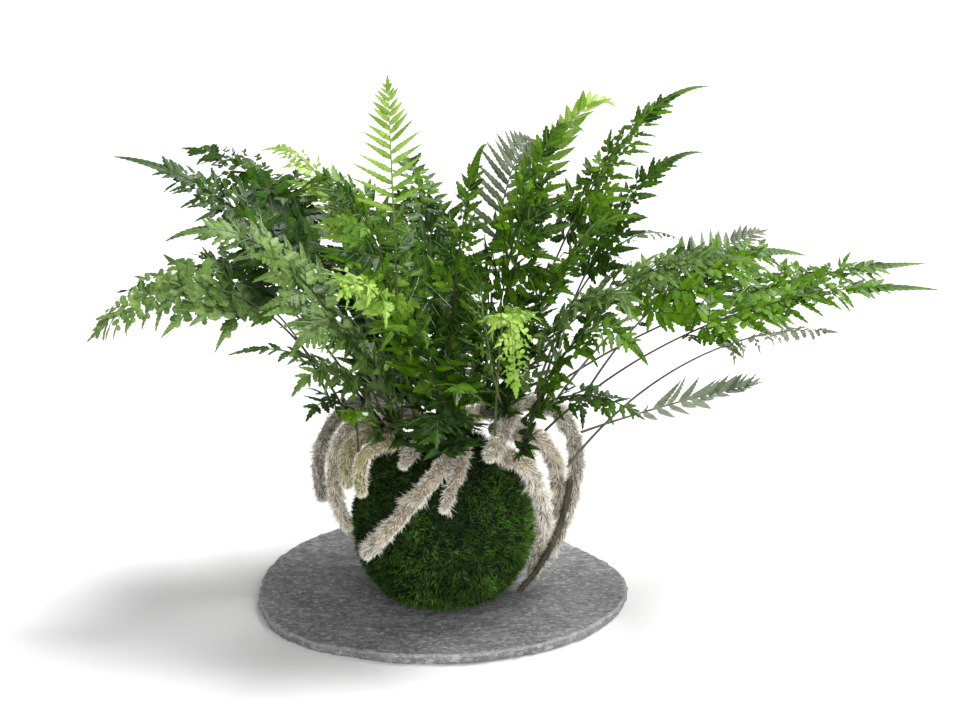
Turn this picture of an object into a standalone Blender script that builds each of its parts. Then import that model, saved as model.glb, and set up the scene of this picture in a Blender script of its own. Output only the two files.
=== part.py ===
"""A kokedama: a rabbit's-foot fern growing from a moss-wrapped ball of soil that stands on a slate plate.

Metres, +Z up. The origin is the middle of the plate's underside, and the side that faces the viewer is -Y.
"""
import math

import bmesh
import bpy
import numpy as np
from mathutils import Matrix, Vector

GAP = 0.0003                      # clearance between pieces that touch

# Slate plate: a natural, hand-trimmed outline given by its radius every 36 degrees from +X
PLATE_RADII = (0.113, 0.106, 0.113, 0.123, 0.118, 0.114, 0.119, 0.111, 0.108, 0.111)
PLATE_THICKNESS = 0.006
PLATE_EDGE_STEPS = 60
PLATE_ARRIS = 0.0012              # width of the worn edge round the top
PLATE_UNDERCUT = 0.0018           # how far the cleft edge draws in at the underside

# Moss ball and the soil inside it
BALL_CENTRE = Vector((0.0, -0.012, 0.051))
BALL_RADIUS = 0.054
MOSS_THICKNESS = 0.007
CROWN_OPENING = 0.016             # radius of the bare patch on top where the roots go in
BALL_FLAT = BALL_CENTRE.z - PLATE_THICKNESS - GAP   # depth of the flat underside below the centre
# The soil's mound: shares of the opening's radius, and heights above the ball's surface
SOIL_MOUND = ((1.0, -0.0035), (0.84, 0.0005), (0.76, 0.004), (0.60, 0.009), (0.34, 0.0125), (0.0, 0.014))
BALL_SIDES = 30
OUTER_STEPS = 12                  # rows of faces from the flat underside to the crown
INNER_STEPS = 9

# Rhizomes
RHIZOME_SIDES = 6
RHIZOME_STEP = 0.010              # distance between rings along a rhizome
TIP_ROUNDING = (0.45, 0.78, 0.95, 1.0)   # radius shares that round off a blunt end

# Fronds
STIPE_RADIUS = 0.0011
STIPE_STEP = 0.016
PINNA_PAIRS = 7                   # lobes shown on each side of a simplified blade
BLADE_WIDTH_SHARE = 0.60          # the solid blade is the stiff inner part of the real one
BLADE_THICKNESS = 0.0009
NOTCH_SHARE = 0.38                # width left between two lobes
BLADE_TAPER = 0.8                 # power that narrows the blade towards its tip
LOBED_SHARE = 0.94                # share of the blade that carries lobes; the rest is its point
RIB_STEP = 0.001                  # spacing of the points that a midrib is measured by
STEEP_REACH = 0.30                # where the curve's first handle lies along the root-to-tip line
STEEP_LIFT = 1.45                 # and how high it stands, per unit of arch
BEND_REACH = 0.70                 # the same for its second handle
BEND_LIFT = 1.20
CURVE_STEPS = 64                  # points worked out along a smooth curve
MIN_STIPE_RINGS = 3
POINT_SHARE = 0.4                 # thickness of a leaf's point, per unit of its stipe
PINNA_SWEEP = 0.45                # how far a lobe leans towards the tip, per unit of its width
PINNA_DROOP = 0.22                # how far a lobe hangs, per unit of its width

# Each rhizome: name, radius, radius at the tip, and the points its middle line passes through,
# from the crown outwards
RHIZOMES = (
    ("rhizome_front_long", 0.0048, 0.0046,
     ((0.003, -0.03, 0.112), (0.002, -0.038, 0.1045), (-0.003, -0.051, 0.0955),
      (-0.0155, -0.0595, 0.083), (-0.0286, -0.0625, 0.0676), (-0.0448, -0.0518, 0.046))),
    ("rhizome_front_short", 0.0038, 0.0028,
     ((0.0145, -0.03, 0.112), (0.012, -0.036, 0.1025), (0.008, -0.051, 0.093), (0.001, -0.0625, 0.078))),
    ("rhizome_front_stub", 0.0040, 0.0036,
     ((-0.011, -0.034, 0.1145), (-0.0165, -0.0313, 0.1048), (-0.023, -0.0403, 0.0976))),
    ("rhizome_right_stub", 0.0050, 0.0048,
     ((0.044, 0.001, 0.127), (0.0405, -0.012, 0.1225), (0.0355, -0.0305, 0.114),
      (0.028, -0.044, 0.104))),
    ("rhizome_right_front", 0.0054, 0.0038,
     ((0.0315, -0.026, 0.101), (0.0415, -0.032, 0.0985), (0.0514, -0.03, 0.0909),
      (0.0584, -0.024, 0.072), (0.0604, -0.019, 0.0535), (0.0589, -0.016, 0.0355),
      (0.054, -0.014, 0.0195))),
    ("rhizome_right_inner", 0.0056, 0.0042,
     ((0.027, -0.008, 0.1095), (0.044, -0.004, 0.1055), (0.058, -0.003, 0.101),
      (0.0665, -0.002, 0.0885), (0.07, -0.002, 0.0705), (0.0685, -0.001, 0.052))),
    ("rhizome_right_outer", 0.0054, 0.0036,
     ((0.022, 0.006, 0.1155), (0.0405, 0.012, 0.1175), (0.058, 0.013, 0.118), (0.072, 0.012, 0.111),
      (0.0795, 0.01, 0.096), (0.081, 0.008, 0.0785), (0.0785, 0.006, 0.0605), (0.073, 0.003, 0.044),
      (0.066, 0.000, 0.028))),
    ("rhizome_right_bare", 0.0024, 0.0019,
     ((0.0765, -0.014, 0.08), (0.0745, -0.016, 0.0665), (0.0705, -0.019, 0.052),
      (0.0645, -0.022, 0.038), (0.056, -0.026, 0.0245), (0.0455, -0.031, 0.0135))),
    ("rhizome_left_outer", 0.0046, 0.0038,
     ((-0.0215, 0.002, 0.119), (-0.039, 0.01, 0.1205), (-0.0555, 0.013, 0.1175),
      (-0.0675, 0.013, 0.107), (-0.0745, 0.012, 0.093), (-0.0775, 0.01, 0.0765), (-0.075, 0.008, 0.06))),
    ("rhizome_left_inner", 0.0050, 0.0042,
     ((-0.0245, -0.008, 0.109), (-0.042, -0.009, 0.113), (-0.0565, -0.011, 0.1105),
      (-0.0645, -0.013, 0.096), (-0.066, -0.014, 0.0785), (-0.0635, -0.016, 0.0625),
      (-0.0585, -0.018, 0.0505))),
    ("rhizome_left_front", 0.0046, 0.0042,
     ((-0.026, -0.02, 0.1085), (-0.0415, -0.025, 0.1115), (-0.053, -0.029, 0.1065),
      (-0.0575, -0.032, 0.095), (-0.057, -0.033, 0.083))),
    ("rhizome_left_near", 0.0042, 0.0038,
     ((-0.024, -0.03, 0.108), (-0.0365, -0.037, 0.1095), (-0.046, -0.041, 0.103),
      (-0.049, -0.043, 0.0925), (-0.048, -0.043, 0.0815))),
    ("rhizome_back_left", 0.0046, 0.0034,
     ((-0.013, 0.009, 0.1095), (-0.027, 0.025, 0.109), (-0.038, 0.04, 0.099), (-0.043, 0.048, 0.08),
      (-0.042, 0.047, 0.06), (-0.037, 0.042, 0.044))),
    ("rhizome_back_middle", 0.0047, 0.0034,
     ((0.000, 0.012, 0.11), (0.002, 0.031, 0.108), (0.004, 0.047, 0.096), (0.004, 0.0545, 0.075),
      (0.001, 0.051, 0.052), (-0.003, 0.044, 0.031))),
    ("rhizome_back_right", 0.0046, 0.0034,
     ((0.012, 0.01, 0.11), (0.027, 0.026, 0.11), (0.042, 0.038, 0.102), (0.051, 0.044, 0.085),
      (0.053, 0.043, 0.067), (0.049, 0.039, 0.051))),
)

# Each frond: the rhizome it grows from and how far along it (0 to 1), the place of its tip, how far the
# midrib stands above the straight line from root to tip, the share of its length that bears leaf,
# half the leaf's full width, how far the leaf is rolled about its midrib (degrees, right side down),
# and its tint
FRONDS = (
    # to the left
    ("rhizome_left_outer", 0.12, (-0.193, 0.004, 0.273), 0.034, 0.60, 0.042, -28, "dark"),
    ("rhizome_left_outer", 0.04, (-0.168, 0.105, 0.260), 0.040, 0.55, 0.038, -20, "dark"),
    ("rhizome_left_inner", 0.14, (-0.158, -0.040, 0.232), 0.046, 0.64, 0.038, -34, "silver"),
    ("rhizome_left_outer", 0.30, (-0.168, 0.045, 0.196), 0.026, 0.50, 0.040, -20, "dark"),
    ("rhizome_left_inner", 0.30, (-0.204, -0.050, 0.175), 0.056, 0.56, 0.042, -25, "silver"),
    ("rhizome_left_front", 0.20, (-0.122, -0.060, 0.170), 0.020, 0.62, 0.020, -10, "dark"),
    ("rhizome_left_front", 0.45, (-0.077, -0.075, 0.135), 0.016, 0.60, 0.022, -15, "dark"),
    ("rhizome_left_outer", 0.46, (-0.162, 0.100, 0.158), 0.036, 0.55, 0.040, -10, "green"),
    # to the front
    ("rhizome_left_near", 0.26, (-0.083, -0.092, 0.155), 0.028, 0.64, 0.026, -35, "silver"),
    ("rhizome_left_near", 0.06, (-0.083, -0.100, 0.180), 0.040, 0.66, 0.040, -30, "silver"),
    ("rhizome_front_stub", 0.05, (-0.056, -0.104, 0.213), 0.042, 0.46, 0.033, -15, "young"),
    ("rhizome_front_long", 0.05, (-0.032, -0.112, 0.187), 0.038, 0.66, 0.036, 0, "green"),
    ("rhizome_front_short", 0.22, (0.009, -0.112, 0.156), 0.024, 0.60, 0.022, 0, "green"),
    ("rhizome_right_stub", 0.40, (0.021, -0.030, 0.214), -0.020, 0.66, 0.030, 0, "pale"),
    ("rhizome_right_stub", 0.80, (0.042, -0.112, 0.160), 0.062, 0.50, 0.022, 0, "young"),
    # up the middle
    ("rhizome_back_left", 0.02, (-0.087, 0.034, 0.246), 0.058, 0.52, 0.040, -28, "green"),
    ("rhizome_back_left", 0.10, (-0.112, 0.056, 0.267), 0.050, 0.48, 0.026, -20, "young"),
    ("rhizome_left_inner", 0.02, (-0.033, 0.030, 0.317), 0.004, 0.40, 0.031, -37, "young"),
    ("rhizome_back_middle", 0.03, (0.027, 0.030, 0.275), 0.046, 0.60, 0.030, 20, "green"),
    ("rhizome_back_right", 0.08, (0.057, 0.088, 0.268), 0.048, 0.45, 0.036, 20, "grey"),
    ("rhizome_right_outer", 0.03, (0.084, 0.022, 0.284), 0.060, 0.62, 0.042, 30, "green"),
    ("rhizome_back_right", 0.20, (0.107, 0.058, 0.292), 0.066, 0.36, 0.018, 20, "young"),
    ("rhizome_right_outer", 0.13, (0.158, 0.032, 0.310), 0.050, 0.58, 0.034, 25, "green"),
    # to the right
    ("rhizome_right_inner", 0.30, (0.156, 0.034, 0.270), 0.046, 0.55, 0.030, 20, "dark"),
    ("rhizome_right_inner", 0.05, (0.114, -0.050, 0.248), 0.038, 0.62, 0.042, 25, "green"),
    ("rhizome_right_outer", 0.24, (0.150, 0.052, 0.208), 0.044, 0.42, 0.010, 10, "grey"),
    ("rhizome_right_outer", 0.32, (0.205, 0.092, 0.210), 0.018, 0.40, 0.026, 20, "grey"),
    ("rhizome_right_outer", 0.40, (0.222, 0.045, 0.204), 0.036, 0.62, 0.048, 30, "green"),
    ("rhizome_right_inner", 0.38, (0.287, -0.034, 0.202), 0.030, 0.58, 0.034, 25, "green"),
    ("rhizome_right_stub", 0.10, (0.178, -0.060, 0.225), 0.030, 0.64, 0.036, 28, "silver"),
    ("rhizome_right_inner", 0.66, (0.225, -0.065, 0.185), 0.028, 0.36, 0.014, 20, "grey"),
    ("rhizome_right_outer", 0.47, (0.199, 0.045, 0.123), 0.002, 0.66, 0.024, -50, "grey"),
    ("rhizome_right_stub", 0.35, (0.113, -0.092, 0.208), 0.030, 0.62, 0.036, 15, "silver"),
    ("rhizome_right_front", 0.14, (0.116, -0.084, 0.171), 0.044, 0.64, 0.034, 30, "green"),
    # to the back
    ("rhizome_back_left", 0.30, (-0.110, 0.130, 0.188), 0.038, 0.58, 0.044, 0, "green"),
    ("rhizome_back_middle", 0.30, (-0.020, 0.165, 0.180), 0.040, 0.58, 0.044, 0, "dark"),
    # low on the right
    ("rhizome_right_inner", 0.22, (0.118, -0.046, 0.127), 0.016, 0.50, 0.022, 25, "dark"),
    # to the back, higher up
    ("rhizome_back_left", 0.19, (-0.088, 0.125, 0.237), 0.028, 0.58, 0.042, 0, "dark"),
    ("rhizome_back_middle", 0.15, (-0.030, 0.110, 0.251), 0.050, 0.58, 0.042, 0, "green"),
    # far to the right
    ("rhizome_back_right", 0.46, (0.301, 0.070, 0.193), 0.024, 0.46, 0.036, 22, "green"),
    # low over the ball
    ("rhizome_left_near", 0.55, (-0.050, -0.088, 0.134), 0.018, 0.66, 0.022, 0, "green"),
    ("rhizome_front_long", 0.18, (-0.002, -0.116, 0.132), 0.022, 0.70, 0.034, 0, "dark"),
)

TINTS = {
    "dark": (0.020, 0.085, 0.012),
    "green": (0.045, 0.170, 0.018),
    "silver": (0.120, 0.240, 0.085),
    "young": (0.330, 0.480, 0.070),
    "pale": (0.100, 0.250, 0.040),
    "grey": (0.110, 0.150, 0.095),
}


def clear_scene():
    for item in list(bpy.data.objects):
        bpy.data.objects.remove(item)


def material(name, colour, roughness):
    made = bpy.data.materials.new(name)
    made.use_nodes = True
    shader = made.node_tree.nodes["Principled BSDF"]
    shader.inputs["Base Color"].default_value = (*colour, 1.0)
    shader.inputs["Roughness"].default_value = roughness
    made.diffuse_color = (*colour, 1.0)
    return made


def add_object(name, mesh_builder, finish, smooth_angle=50):
    """Make one named object from a bmesh whose faces are turned outwards."""
    bmesh.ops.recalc_face_normals(mesh_builder, faces=mesh_builder.faces)
    mesh = bpy.data.meshes.new(name)
    mesh_builder.to_mesh(mesh)
    mesh_builder.free()
    mesh.shade_smooth()
    mesh.set_sharp_from_angle(angle=math.radians(smooth_angle))
    mesh.materials.append(finish)
    made = bpy.data.objects.new(name, mesh)
    bpy.context.scene.collection.objects.link(made)
    return made


def catmull_rom(a, b, c, d, t):
    """Return the point a share t of the way from b to c on the smooth curve through four values."""
    return 0.5 * (2 * b + (c - a) * t + (2 * a - 5 * b + 4 * c - d) * t * t
                  + (3 * b - a - 3 * c + d) * t ** 3)


def smooth_route(points, step):
    """Return evenly spaced points on the smooth curve through the given points."""
    knots = [Vector(p) for p in points]
    knots = [2 * knots[0] - knots[1]] + knots + [2 * knots[-1] - knots[-2]]
    fine = []
    for a, b, c, d in zip(knots, knots[1:], knots[2:], knots[3:]):
        fine += [catmull_rom(a, b, c, d, i / CURVE_STEPS) for i in range(CURVE_STEPS)]
    fine.append(knots[-2])
    return resample(fine, step)


def resample(line, step):
    """Return points along a polyline, evenly spaced at about the given step."""
    place = np.array(line)
    length = np.concatenate(([0.0], np.cumsum(np.linalg.norm(np.diff(place, axis=0), axis=1))))
    count = max(2, round(length[-1] / step)) + 1
    marks = np.linspace(0.0, length[-1], count)
    return [Vector(p) for p in np.stack([np.interp(marks, length, place[:, k]) for k in range(3)], axis=1)]


def directions(line):
    """Return the unit direction of a polyline at each of its points."""
    ends = [line[0]] + list(line) + [line[-1]]
    return [(ends[i + 2] - ends[i]).normalized() for i in range(len(line))]


def loft(rings):
    """Skin a row of rings with equal numbers of points, and cap both ends."""
    builder = bmesh.new()
    made = [[builder.verts.new(p) for p in ring] for ring in rings]
    sides = len(rings[0])
    for near, far in zip(made, made[1:]):
        for k in range(sides):
            builder.faces.new((near[k], near[(k + 1) % sides], far[(k + 1) % sides], far[k]))
    builder.faces.new(made[0])
    builder.faces.new(made[-1])
    bmesh.ops.triangulate(builder, faces=builder.faces)
    return builder


def tube_rings(line, radii, sides):
    """Return rings of the given radii round a line, without twist."""
    rings = []
    across = directions(line)[0].orthogonal()
    for point, ahead, radius in zip(line, directions(line), radii):
        across = (across - across.dot(ahead) * ahead).normalized()
        beside = ahead.cross(across)
        turns = (2 * math.pi * k / sides for k in range(sides))
        rings.append([point + radius * (math.cos(a) * across + math.sin(a) * beside) for a in turns])
    return rings


def plate_radius(angle):
    """Return the plate's radius at an angle, on a smooth closed curve through PLATE_RADII."""
    count = len(PLATE_RADII)
    place = angle / (2 * math.pi) * count
    first = math.floor(place)
    near = (PLATE_RADII[(first + k) % count] for k in (-1, 0, 1, 2))
    return catmull_rom(*near, place - first)


def make_plate(finish):
    levels = (
        (0.0, PLATE_UNDERCUT),
        (0.3 * PLATE_THICKNESS, 0.4 * PLATE_UNDERCUT),
        (PLATE_THICKNESS - PLATE_ARRIS, 0.0),
        (PLATE_THICKNESS, PLATE_ARRIS),
    )
    rings = []
    for height, inset in levels:
        ring = []
        for k in range(PLATE_EDGE_STEPS):
            angle = 2 * math.pi * k / PLATE_EDGE_STEPS
            radius = plate_radius(angle) - inset
            ring.append(Vector((radius * math.cos(angle), radius * math.sin(angle), height)))
        rings.append(ring)
    add_object("slate_plate", loft(rings), finish, smooth_angle=30)


def turned(profile):
    """Turn an outline that starts and ends on the axis."""
    builder = bmesh.new()
    rings = []
    for radius, height in profile:
        sides = 1 if radius == 0.0 else BALL_SIDES
        turns = (2 * math.pi * k / BALL_SIDES for k in range(sides))
        rings.append([builder.verts.new((radius * math.cos(a), radius * math.sin(a), height)) for a in turns])
    for near, far in zip(rings, rings[1:]):
        for k in range(BALL_SIDES):
            j = (k + 1) % BALL_SIDES
            corners = (near[k % len(near)], near[j % len(near)], far[j % len(far)], far[k % len(far)])
            builder.faces.new(list(dict.fromkeys(corners)))
    bmesh.ops.translate(builder, verts=builder.verts, vec=BALL_CENTRE)
    bmesh.ops.triangulate(builder, faces=builder.faces)
    return builder


def arc(radius, start, end, steps):
    """Return (radius, height) points of an arc between two angles above the horizontal."""
    angles = (start + (end - start) * k / steps for k in range(steps + 1))
    return [(radius * math.cos(a), radius * math.sin(a)) for a in angles]


def make_moss(finish):
    """Make the moss cover: a thick skin, flat underneath and open at the crown."""
    inner = BALL_RADIUS - MOSS_THICKNESS
    inner_flat = BALL_FLAT - MOSS_THICKNESS
    rim = math.acos(CROWN_OPENING / BALL_RADIUS)
    outside = arc(BALL_RADIUS, -math.asin(BALL_FLAT / BALL_RADIUS), rim, OUTER_STEPS)
    inside = arc(inner, math.acos(CROWN_OPENING / inner), -math.asin(inner_flat / inner), INNER_STEPS)
    profile = [(0.0, -BALL_FLAT)] + outside + inside + [(0.0, -inner_flat)]
    add_object("moss_cover", turned(profile), finish)


def make_soil(finish):
    """Make the soil core, which fills the moss and rises as a mound between the roots of the rhizomes."""
    radius = BALL_RADIUS - MOSS_THICKNESS - GAP
    flat = BALL_FLAT - MOSS_THICKNESS - GAP
    neck = CROWN_OPENING - GAP
    side = arc(radius, -math.asin(flat / radius), math.acos(CROWN_OPENING / radius), INNER_STEPS)
    mound = [(share * neck, BALL_RADIUS + height) for share, height in SOIL_MOUND]
    profile = [(0.0, -flat)] + side + mound
    add_object("soil_core", turned(profile), finish)


def make_rhizome(name, radius, tip_radius, points, finish):
    line = smooth_route(points, RHIZOME_STEP)
    count = len(line)
    radii = [radius + (tip_radius - radius) * k / (count - 1) for k in range(count)]
    ahead = directions(line)
    rounded = []
    for share in TIP_ROUNDING:
        back = math.sqrt(1 - share * share) * radii[0]
        rounded.append((line[0] - ahead[0] * back, radii[0] * share))
    ends = []
    for share in reversed(TIP_ROUNDING):
        on = math.sqrt(1 - share * share) * radii[-1]
        ends.append((line[-1] + ahead[-1] * on, radii[-1] * share))
    whole = rounded + list(zip(line[1:-1], radii[1:-1])) + ends
    rings = tube_rings([p for p, r in whole], [r for p, r in whole], RHIZOME_SIDES)
    add_object(name, loft(rings), finish, smooth_angle=60)
    return line, radii


def frond_root(line, radii, share):
    """Return the point just above a rhizome, at a share of its length."""
    place = share * (len(line) - 1)
    index = min(int(place), len(line) - 2)
    point = line[index].lerp(line[index + 1], place - index)
    ahead = (line[index + 1] - line[index]).normalized()
    upward = (Vector((0, 0, 1)) - ahead.z * ahead).normalized()
    return point + upward * (radii[index] + STIPE_RADIUS + 2 * GAP)


def midrib(root, tip, arch):
    """Return points along a frond, which leaves its rhizome steeply and bends over to its tip."""
    chord = tip - root
    level = Vector((chord.x, chord.y, 0.0)).normalized()
    near = root + chord * STEEP_REACH + Vector((0, 0, arch)) * STEEP_LIFT
    far = root + chord * BEND_REACH + Vector((0, 0, arch)) * BEND_LIFT
    fine = []
    for k in range(CURVE_STEPS + 1):
        t = k / CURVE_STEPS
        u = 1 - t
        fine.append(root * u ** 3 + near * (3 * u * u * t) + far * (3 * u * t * t) + tip * t ** 3)
    return resample(fine, RIB_STEP), Vector((0, 0, 1)).cross(level)


def blade_axes(ahead, left, roll):
    """Return the leaf's sideways and upper directions at a point of the midrib."""
    side = (left - left.dot(ahead) * ahead).normalized()
    side = Matrix.Rotation(math.radians(roll), 3, ahead) @ side
    return side, ahead.cross(side)


def blade_stations(length_steps, leaf_start, half_width):
    """Return (index, half-width, is leaf) along a frond: the stipe, lobes and notches in turn, the point."""
    stations = []
    bare_steps = max(MIN_STIPE_RINGS, round(leaf_start * RIB_STEP / STIPE_STEP))
    for k in range(bare_steps):
        stations.append((round(leaf_start * k / bare_steps), STIPE_RADIUS, False))
    for k in range(2 * PINNA_PAIRS):
        share = k / (2 * PINNA_PAIRS + 1)
        width = BLADE_WIDTH_SHARE * half_width * (1 - share) ** BLADE_TAPER
        if k % 2 == 1:
            width *= NOTCH_SHARE
        stations.append((leaf_start + round(share * LOBED_SHARE * (length_steps - leaf_start)), width, True))
    stations.append((length_steps, POINT_SHARE * STIPE_RADIUS, False))
    return stations


def make_frond(name, root, row, finish):
    """Make one frond: a four-sided bar along the midrib, drawn out sideways into the lobed blade."""
    tip, arch, leafy, half_width, roll = row
    line, left = midrib(root, Vector(tip), arch)
    ahead = directions(line)
    last = len(line) - 1
    rings = []
    for index, width, is_leaf in blade_stations(last, round((1 - leafy) * last), half_width):
        side, upper = blade_axes(ahead[index], left, roll)
        middle = line[index]
        lean = (PINNA_SWEEP * ahead[index] - PINNA_DROOP * upper) * width if is_leaf else Vector()
        half = BLADE_THICKNESS if is_leaf else width
        rings.append([middle + upper * half, middle + side * width + lean, middle - upper * half,
                      middle - side * width + lean])
    add_object(name, loft(rings), finish, smooth_angle=40)


def main():
    clear_scene()
    make_plate(material("slate", (0.16, 0.16, 0.165), 0.75))
    make_moss(material("moss", (0.030, 0.085, 0.012), 0.95))
    make_soil(material("soil", (0.030, 0.020, 0.013), 0.95))
    fur = material("rhizome_fur", (0.62, 0.56, 0.44), 0.9)
    bare = material("rhizome_bark", (0.16, 0.12, 0.05), 0.6)
    grown = {}
    for name, radius, tip_radius, points in RHIZOMES:
        grown[name] = make_rhizome(name, radius, tip_radius, points, bare if name.endswith("bare") else fur)
    leaves = {tint: material("frond_" + tint, colour, 0.5) for tint, colour in TINTS.items()}
    for number, (rhizome, share, *row, tint) in enumerate(FRONDS, start=1):
        root = frond_root(*grown[rhizome], share)
        make_frond(f"frond_{number:02d}", root, row, leaves[tint])


main()
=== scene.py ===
"""Looks of the kokedama: a rabbit's-foot fern on a moss ball on a slate plate.

Metres, +Z up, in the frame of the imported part.
"""

import math

import bpy
import numpy as np
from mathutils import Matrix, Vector


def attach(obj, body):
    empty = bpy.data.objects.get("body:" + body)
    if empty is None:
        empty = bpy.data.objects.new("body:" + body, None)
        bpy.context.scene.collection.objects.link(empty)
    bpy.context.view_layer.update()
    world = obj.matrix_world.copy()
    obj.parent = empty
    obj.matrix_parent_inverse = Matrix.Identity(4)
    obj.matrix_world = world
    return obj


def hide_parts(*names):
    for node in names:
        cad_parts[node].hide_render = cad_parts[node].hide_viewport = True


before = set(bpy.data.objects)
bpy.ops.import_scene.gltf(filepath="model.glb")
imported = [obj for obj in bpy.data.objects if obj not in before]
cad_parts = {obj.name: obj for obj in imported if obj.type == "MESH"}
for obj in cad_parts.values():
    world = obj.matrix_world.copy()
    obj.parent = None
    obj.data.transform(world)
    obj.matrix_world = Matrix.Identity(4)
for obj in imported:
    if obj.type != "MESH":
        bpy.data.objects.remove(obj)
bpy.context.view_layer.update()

# ---- The part's design, repeated ----

# radii of the plate's outline, every 36 degrees
PLATE_RADII = (0.113, 0.106, 0.113, 0.123, 0.118, 0.114, 0.119, 0.111, 0.108, 0.111)
PLATE_THICKNESS = 0.006
PLATE_ARRIS = 0.0012
PLATE_UNDERCUT = 0.0018
GAP = 0.0003
BALL_CENTRE = np.array((0, -0.012, 0.051))
BALL_RADIUS = 0.054
BALL_FLAT = BALL_CENTRE[2] - PLATE_THICKNESS - GAP
CROWN_OPENING = 0.016
# the soil's mound: share of the opening's radius, height above the ball's surface
SOIL_MOUND = ((1, -0.0035), (0.84, 0.0005), (0.76, 0.004), (0.6, 0.009), (0.34, 0.0125), (0, 0.014))
RHIZOME_STEP = 0.01
STIPE_RADIUS = 0.0011
CURVE_STEPS = 64
RIB_STEP = 0.001
# the two handles of a midrib's curve: share of the way to the tip, height per unit of arch
STEEP_REACH, STEEP_LIFT = 0.3, 1.45
BEND_REACH, BEND_LIFT = 0.7, 1.2

# name, radius, radius at the tip, points from the crown outwards
RHIZOMES = (
    ("front_long", 0.0048, 0.0046,
     ((0.003, -0.03, 0.112), (0.002, -0.038, 0.1045), (-0.003, -0.051, 0.0955),
      (-0.0155, -0.0595, 0.083), (-0.0286, -0.0625, 0.0676), (-0.0448, -0.0518, 0.046))),
    ("front_short", 0.0038, 0.0028,
     ((0.0145, -0.03, 0.112), (0.012, -0.036, 0.1025), (0.008, -0.051, 0.093), (0.001, -0.0625, 0.078))),
    ("front_stub", 0.004, 0.0036,
     ((-0.011, -0.034, 0.1145), (-0.0165, -0.0313, 0.1048), (-0.023, -0.0403, 0.0976))),
    ("right_stub", 0.005, 0.0048,
     ((0.044, 0.001, 0.127), (0.0405, -0.012, 0.1225), (0.0355, -0.0305, 0.114), (0.028, -0.044, 0.104))),
    ("right_front", 0.0054, 0.0038,
     ((0.0315, -0.026, 0.101), (0.0415, -0.032, 0.0985), (0.0514, -0.03, 0.0909),
      (0.0584, -0.024, 0.072), (0.0604, -0.019, 0.0535), (0.0589, -0.016, 0.0355),
      (0.054, -0.014, 0.0195))),
    ("right_inner", 0.0056, 0.0042,
     ((0.027, -0.008, 0.1095), (0.044, -0.004, 0.1055), (0.058, -0.003, 0.101),
      (0.0665, -0.002, 0.0885), (0.07, -0.002, 0.0705), (0.0685, -0.001, 0.052))),
    ("right_outer", 0.0054, 0.0036,
     ((0.022, 0.006, 0.1155), (0.0405, 0.012, 0.1175), (0.058, 0.013, 0.118), (0.072, 0.012, 0.111),
      (0.0795, 0.01, 0.096), (0.081, 0.008, 0.0785), (0.0785, 0.006, 0.0605), (0.073, 0.003, 0.044),
      (0.066, 0, 0.028))),
    ("right_bare", 0.0024, 0.0019,
     ((0.0765, -0.014, 0.08), (0.0745, -0.016, 0.0665), (0.0705, -0.019, 0.052),
      (0.0645, -0.022, 0.038), (0.056, -0.026, 0.0245), (0.0455, -0.031, 0.0135))),
    ("left_outer", 0.0046, 0.0038,
     ((-0.0215, 0.002, 0.119), (-0.039, 0.01, 0.1205), (-0.0555, 0.013, 0.1175),
      (-0.0675, 0.013, 0.107), (-0.0745, 0.012, 0.093), (-0.0775, 0.01, 0.0765), (-0.075, 0.008, 0.06))),
    ("left_inner", 0.005, 0.0042,
     ((-0.0245, -0.008, 0.109), (-0.042, -0.009, 0.113), (-0.0565, -0.011, 0.1105),
      (-0.0645, -0.013, 0.096), (-0.066, -0.014, 0.0785), (-0.0635, -0.016, 0.0625),
      (-0.0585, -0.018, 0.0505))),
    ("left_front", 0.0046, 0.0042,
     ((-0.026, -0.02, 0.1085), (-0.0415, -0.025, 0.1115), (-0.053, -0.029, 0.1065),
      (-0.0575, -0.032, 0.095), (-0.057, -0.033, 0.083))),
    ("left_near", 0.0042, 0.0038,
     ((-0.024, -0.03, 0.108), (-0.0365, -0.037, 0.1095), (-0.046, -0.041, 0.103),
      (-0.049, -0.043, 0.0925), (-0.048, -0.043, 0.0815))),
    ("back_left", 0.0046, 0.0034,
     ((-0.013, 0.009, 0.1095), (-0.027, 0.025, 0.109), (-0.038, 0.04, 0.099), (-0.043, 0.048, 0.08),
      (-0.042, 0.047, 0.06), (-0.037, 0.042, 0.044))),
    ("back_middle", 0.0047, 0.0034,
     ((0, 0.012, 0.11), (0.002, 0.031, 0.108), (0.004, 0.047, 0.096), (0.004, 0.0545, 0.075),
      (0.001, 0.051, 0.052), (-0.003, 0.044, 0.031))),
    ("back_right", 0.0046, 0.0034,
     ((0.012, 0.01, 0.11), (0.027, 0.026, 0.11), (0.042, 0.038, 0.102), (0.051, 0.044, 0.085),
      (0.053, 0.043, 0.067), (0.049, 0.039, 0.051))),
)

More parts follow.
